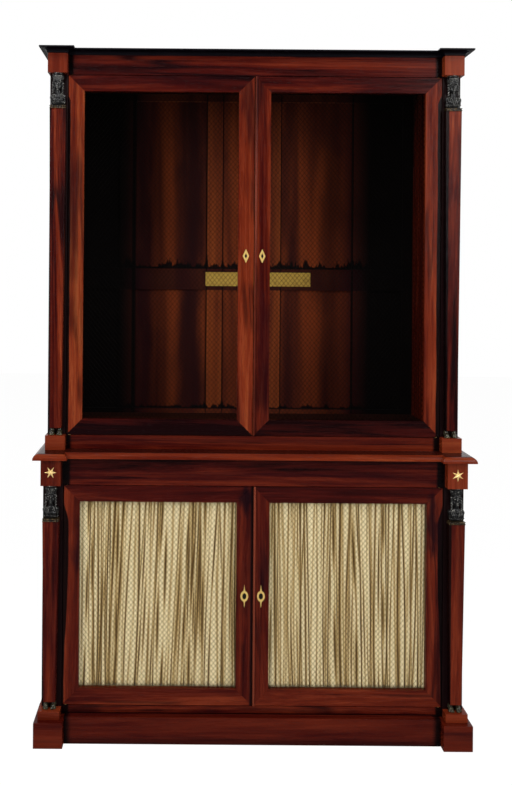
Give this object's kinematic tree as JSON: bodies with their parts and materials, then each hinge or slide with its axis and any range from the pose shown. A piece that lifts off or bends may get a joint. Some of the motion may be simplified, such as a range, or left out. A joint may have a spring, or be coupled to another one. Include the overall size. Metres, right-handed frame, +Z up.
{
  "type": "bookcase cabinet",
  "caption": "Two-stage mahogany bookcase: cupboard below with silk-backed wire doors, taller set-back bookcase above with open wire doors, herm pilasters and bronze busts.",
  "frame": {"origin": "middle of the footprint's bounding box, on the floor", "axes": "+Z up, -Y towards the front where the doors are, +X to the viewer's right"},
  "size_m": [1.398, 0.5, 2.218],
  "materials": {
    "mahogany": "polished",
    "ebonised_wood": "satin",
    "inside_wood": "matte",
    "patinated_bronze": "satin",
    "gilt_bronze": "polished",
    "brass_wire": "satin",
    "silk": "sheen",
    "steel": "satin",
    "card": "matte"
  },
  "bodies": {
    "carcass": {"bronze_busts": "patinated_bronze", "bronze_feet": "patinated_bronze", "card_strip": "card", "cornice": "ebonised_wood", "door_stops": "inside_wood", "foot_blocks": "mahogany", "frieze_blocks": "mahogany", "lower_back_boards": "inside_wood", "lower_bottom_board": "inside_wood", "lower_bottom_rail": "mahogany", "lower_corner_posts": "mahogany", "lower_frieze_rail": "mahogany", "lower_pilasters": "mahogany", "lower_shelf": "inside_wood", "lower_side_left": "mahogany", "lower_side_right": "mahogany", "pilaster_bases": "mahogany", "pivot_sockets": "brass_wire", "plinth_front_rail": "mahogany", "plinth_sides": "mahogany", "shelf_cleats": "inside_wood", "star_mounts": "gilt_bronze", "upper_back_frame": "inside_wood", "upper_back_panels": "inside_wood", "upper_bottom_board": "inside_wood", "upper_bottom_rail": "mahogany", "upper_corner_posts": "mahogany", "upper_frieze_rail": "mahogany", "upper_pilasters": "mahogany", "upper_side_left": "mahogany", "upper_side_right": "mahogany", "upper_top_board": "inside_wood", "waist_board": "mahogany"},
    "upper_left_door": {"upper_left_door_escutcheon": "gilt_bronze", "upper_left_door_fittings": "brass_wire", "upper_left_door_frame": "mahogany", "upper_left_door_mesh": "brass_wire"},
    "upper_right_door": {"upper_right_door_escutcheon": "gilt_bronze", "upper_right_door_fittings": "brass_wire", "upper_right_door_frame": "mahogany", "upper_right_door_lock_case": "steel", "upper_right_door_mesh": "brass_wire"},
    "lower_left_door": {"lower_left_door_curtain": "silk", "lower_left_door_curtain_rods": "brass_wire", "lower_left_door_escutcheon": "gilt_bronze", "lower_left_door_fittings": "brass_wire", "lower_left_door_frame": "mahogany", "lower_left_door_mesh": "brass_wire"},
    "lower_right_door": {"lower_right_door_curtain": "silk", "lower_right_door_curtain_rods": "brass_wire", "lower_right_door_escutcheon": "gilt_bronze", "lower_right_door_fittings": "brass_wire", "lower_right_door_frame": "mahogany", "lower_right_door_lock_case": "steel", "lower_right_door_mesh": "brass_wire"},
    "lower_flush_bolt": {"lower_left_door_flush_bolt": "steel"},
    "lower_lock_bolt": {"lower_right_door_lock_bolt": "steel"},
    "upper_flush_bolt": {"upper_left_door_flush_bolt": "steel"},
    "upper_lock_bolt": {"upper_right_door_lock_bolt": "steel"}
  },
  "joints": [
    {"name": "upper_left_door_hinge", "type": "hinge", "parent": "carcass", "child": "upper_left_door", "pos_m": [-0.5965, -0.163, 0.5], "axis": [0, 0, -1], "range_deg": [0, 100]},
    {"name": "upper_right_door_hinge", "type": "hinge", "parent": "carcass", "child": "upper_right_door", "pos_m": [0.5965, -0.163, 0.5], "axis": [0, 0, 1], "range_deg": [0, 100]},
    {"name": "upper_lock_bolt_slide", "type": "slide", "parent": "upper_right_door", "child": "upper_lock_bolt", "axis": [-1, 0, 0], "range_m": [0, 0.008]},
    {"name": "upper_flush_bolt_slide", "type": "slide", "parent": "upper_left_door", "child": "upper_flush_bolt", "axis": [0, 0, 1], "range_m": [0, 0.01]},
    {"name": "lower_left_door_hinge", "type": "hinge", "parent": "carcass", "child": "lower_left_door", "pos_m": [-0.5965, -0.199, 0.5], "axis": [0, 0, -1], "range_deg": [0, 100]},
    {"name": "lower_right_door_hinge", "type": "hinge", "parent": "carcass", "child": "lower_right_door", "pos_m": [0.5965, -0.199, 0.5], "axis": [0, 0, 1], "range_deg": [0, 100]},
    {"name": "lower_lock_bolt_slide", "type": "slide", "parent": "lower_right_door", "child": "lower_lock_bolt", "axis": [-1, 0, 0], "range_m": [0, 0.008]},
    {"name": "lower_flush_bolt_slide", "type": "slide", "parent": "lower_left_door", "child": "lower_flush_bolt", "axis": [0, 0, 1], "range_m": [0, 0.01]}
  ]
}
